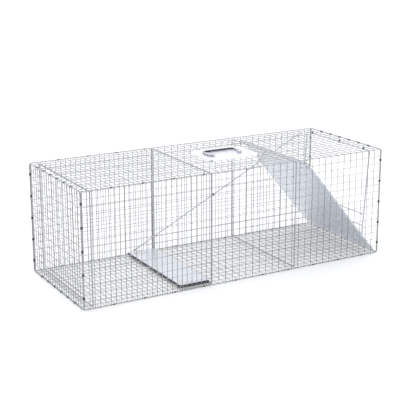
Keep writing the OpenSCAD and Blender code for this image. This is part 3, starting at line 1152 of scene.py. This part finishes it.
@dataclass
class Carrier:
    """The guard plate and the folding handle.

    Attributes:
        rod: Radius of the handle's rod.
        stub: Length of each end that turns in its saddle.
        bends: Bend radius at a leg's foot and at the grip's corner.
        grip: Depth of the dark grip, and of its blend into the legs.
        corner: Corner radius of the guard plate.
        top_rings: Insets of the rings on the plate's top, and on its underside.
    """

    wardrobe: Wardrobe
    frame: dict[str, Any]
    rod: float = 0.0035
    stub: float = 0.0155
    bends: tuple[float, float] = (0.005, 0.015)
    grip: float = 0.01
    corner: float = 0.012
    top_rings: tuple[float, ...] = (0.0841, 0.05, 0.02, 0.004)

    def build(self) -> None:
        """Builds the plate and the handle."""
        low, high = node_box("guard_plate")
        plate = make_piece("guard_plate_sheet", self._plate(low, high), 30)
        self.wardrobe.fit(plate, Finish.PLATE, "cage", "galvanised_sheet", "guard_plate")
        low, high = node_box("handle")
        pivot = np.array(joint_named(self.frame, "handle_swing")["pos_m"])
        x0, x1, y1 = low[0] + self.rod, high[0] - self.rod, high[1] - self.rod
        y0, z = pivot[1], pivot[2]
        foot, shoulder = self.bends
        corners = [(x0 + self.stub, y0, z), (x0, y0, z), (x0, y1, z),
                   (x1, y1, z), (x1, y0, z), (x1 - self.stub, y0, z)]
        line = spaced(bent_path(corners, [0, foot, shoulder, shoulder, foot, 0]), 0.006)
        surface = round_wires(line[None], self.rod, (0, 0, 1), 18)
        surface.tone = np.clip((y1 - self.grip - surface.points[:, 1]) / self.grip, 0, 1)
        piece = make_piece("handle_rod", surface)
        self.wardrobe.fit(piece, Finish.HANDLE, "bail", "handle_steel", "handle")

    def _plate(self, low: Array, high: Array) -> Surface:
        """The guard plate: rings of one rounded outline, closed over its top and its bottom.

        The outline is a rectangle with quarter-circle corners. Ring k is the outline drawn in by
        inset k and set at height k, so the edge is rounded by five rings.

        Args:
            low: Lowest corner of the plate's box.
            high: Highest corner of the plate's box.

        Returns:
            The plate as a closed surface.
        """
        half = (high - low) / 2
        centre = (high + low) / 2
        t = high[2] - low[2]
        a = np.radians(np.arange(0, 360, 9))
        quarter = np.floor((a / TAU * 4) % 4).astype(int)
        sx = np.array([1, -1, -1, 1])[quarter]
        sy = np.array([1, 1, -1, -1])[quarter]

        def ring(inset: float, height: float) -> Array:
            """The outline drawn in by inset, at a height from the plate's middle."""
            r = max(self.corner - inset, 1e-4)
            x = sx * (half[0] - inset - r) + r * np.cos(a)
            y = sy * (half[1] - inset - r) + r * np.sin(a)
            return np.stack([x, y, np.full(len(a), height)], axis=1)

        upper = [(inset, 1.0) for inset in self.top_rings] + [(0.0003, 1.0), (0.0001, 0.8), (0.0, 0.0)]
        stack = upper + [(inset, -h) for inset, h in upper[-2::-1]]
        rings = [ring(inset, h * t / 2) for inset, h in stack]
        count = len(a)
        quads = lattice(len(rings), count, wrap_columns=True)
        points = np.concatenate([*rings, [[0, 0, t / 2], [0, 0, -t / 2]]]) + centre
        i = np.arange(count)
        pole = len(rings) * count
        top = np.stack([np.full(count, pole), i, (i + 1) % count], axis=1)
        last = (len(rings) - 1) * count
        bottom = np.stack([np.full(count, pole + 1), last + (i + 1) % count, last + i], axis=1)
        return Surface(points, quads[:, ::-1], np.concatenate([top, bottom]))


# ---- small kept parts


@dataclass
class SmallParts:
    """The small CAD pieces whose shapes are right, and only get their finish."""

    wardrobe: Wardrobe
    frame: dict[str, Any]

    def dress(self) -> None:
        """Dresses each kept node."""
        clips = ("guard_rings", "lock_loops", "treadle_loops", "rod_guide", "edge_clips", "end_clips")
        finishes = {"handle_saddles": Finish.PLATE, "handle_rivets": Finish.ROD_WIRE}
        finishes.update(dict.fromkeys(clips, Finish.CLIP))
        for node, finish in finishes.items():
            piece = self.frame["nodes"][node]
            self.wardrobe.dress(piece, finish)
            LOG.info("%s: kept, dressed in %s", node, finish.name)


# ---- studio


def aimed(place: Sequence[float], ahead: Vector) -> Matrix:
    """The matrix of a camera or lamp that stands at place and looks along ahead."""
    return Matrix.Translation(place) @ ahead.to_track_quat("-Z", "Y").to_matrix().to_4x4()


@dataclass(frozen=True)
class Studio:
    """The plain floor, the soft lights and the camera.

    Attributes:
        camera_place: Where the camera stands.
        azimuth: Its direction, degrees from +Y towards +X.
        elevation: How far it looks down, in degrees.
        roll: Its roll in degrees.
        lens: Focal length in millimetres on a 36 mm sensor.
        floor_size: Side of the square floor.
        sky_axis: Direction in which the sky is brightest.
        dim_sky: Brightness of the sky's dim side.
        bright_sky: Brightness of its bright side.
        floor_glow: The floor's own light, which keeps its shadows faint.
    """

    camera_place: tuple[float, float, float] = (-1.7655, -3.0545, 1.2106)
    azimuth: float = 29.473
    elevation: float = 15.59
    roll: float = -0.16
    lens: float = 94.78
    floor_size: float = 60.0
    sky_axis: tuple[float, float, float] = (0.35, 0.6, 0.72)
    dim_sky: float = 0.40
    bright_sky: float = 1.3
    floor_glow: float = 0.33

    def camera(self) -> None:
        """Makes the camera and gives it to the scene."""
        data = bpy.data.cameras.new("camera")
        data.lens = self.lens
        data.sensor_width = 36.0
        data.clip_end = 200.0
        camera = bpy.data.objects.new("camera", data)
        bpy.context.scene.collection.objects.link(camera)
        az, el = math.radians(self.azimuth), math.radians(self.elevation)
        ahead = Vector((math.sin(az) * math.cos(el), math.cos(az) * math.cos(el), -math.sin(el)))
        roll = Matrix.Rotation(math.radians(self.roll), 4, "Z")
        camera.matrix_world = aimed(self.camera_place, ahead) @ roll
        bpy.context.scene.camera = camera

    def floor(self) -> None:
        """Makes the pale floor, just under the trap."""
        side = self.floor_size / 2
        z = -0.0002
        points = np.array([(-side, -side, z), (side, -side, z), (side, side, z), (-side, side, z)])
        floor = make_piece("studio_floor", Surface(points, np.array([[0, 1, 2, 3]])), None)
        shader = Shader("pale_floor")
        shader.surface.inputs["Base Color"].default_value = (0.74, 0.74, 0.75, 1)
        shader.surface.inputs["Roughness"].default_value = 0.6
        shader.surface.inputs["Emission Color"].default_value = (1.0, 1.0, 1.0, 1)
        shader.surface.inputs["Emission Strength"].default_value = self.floor_glow
        floor.data.materials.append(shader.material)

    def light(self) -> None:
        """Sets a sky that is bright above and behind and dimmer in front, and two soft lamps."""
        world = bpy.data.worlds.new("studio_sky")
        world.use_nodes = True
        tree = world.node_tree
        sky = tree.nodes["Background"]
        place = tree.nodes.new("ShaderNodeTexCoord")
        facing = tree.nodes.new("ShaderNodeVectorMath")
        facing.operation = "DOT_PRODUCT"
        facing.inputs[1].default_value = self.sky_axis
        level = tree.nodes.new("ShaderNodeMapRange")
        level.interpolation_type = "SMOOTHSTEP"
        tree.links.new(place.outputs["Generated"], facing.inputs[0])
        tree.links.new(facing.outputs["Value"], level.inputs["Value"])
        tree.links.new(level.outputs["Result"], sky.inputs["Strength"])
        span = {"From Min": -0.3, "From Max": 0.7, "To Min": self.dim_sky, "To Max": self.bright_sky}
        for name, value in span.items():
            level.inputs[name].default_value = value
        sky.inputs["Color"].default_value = (0.97, 0.98, 1.0, 1)
        bpy.context.scene.world = world
        self._lamp("overhead", (0.2, -0.4, 3.2), (0.1, 0.0, 0.0), 3.0, 10.0)
        self._lamp("rear_end", (-3.2, 0.6, 0.9), (0.4, 0.0, 0.15), 1.2, 6.0)
        bpy.context.scene.view_settings.view_transform = "Standard"

    @staticmethod
    def _lamp(name: str, place: Sequence[float], aim: Sequence[float], size: float, power: float) -> None:
        """Adds one square area lamp that points at aim.

        Args:
            name: The lamp's name.
            place: Where it stands.
            aim: The point it faces.
            size: Its side.
            power: Its watts.
        """
        data = bpy.data.lights.new(name, "AREA")
        data.size = size
        data.energy = power
        lamp = bpy.data.objects.new(name, data)
        bpy.context.scene.collection.objects.link(lamp)
        lamp.matrix_world = aimed(place, Vector(aim) - Vector(place))


def main() -> None:
    """Builds the trap round its frame, then the studio."""
    logging.basicConfig(level=logging.INFO, format="%(name)s: %(message)s")
    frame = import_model()
    studio = Studio()
    studio.camera()
    wardrobe = Wardrobe()
    Cage(wardrobe).build()
    Door(wardrobe, frame).build()
    LockFrame(wardrobe, frame).build()
    Treadle(wardrobe, frame).build()
    Carrier(wardrobe, frame).build()
    SmallParts(wardrobe, frame).dress()
    studio.floor()
    studio.light()


if __name__ == "__main__":
    main()
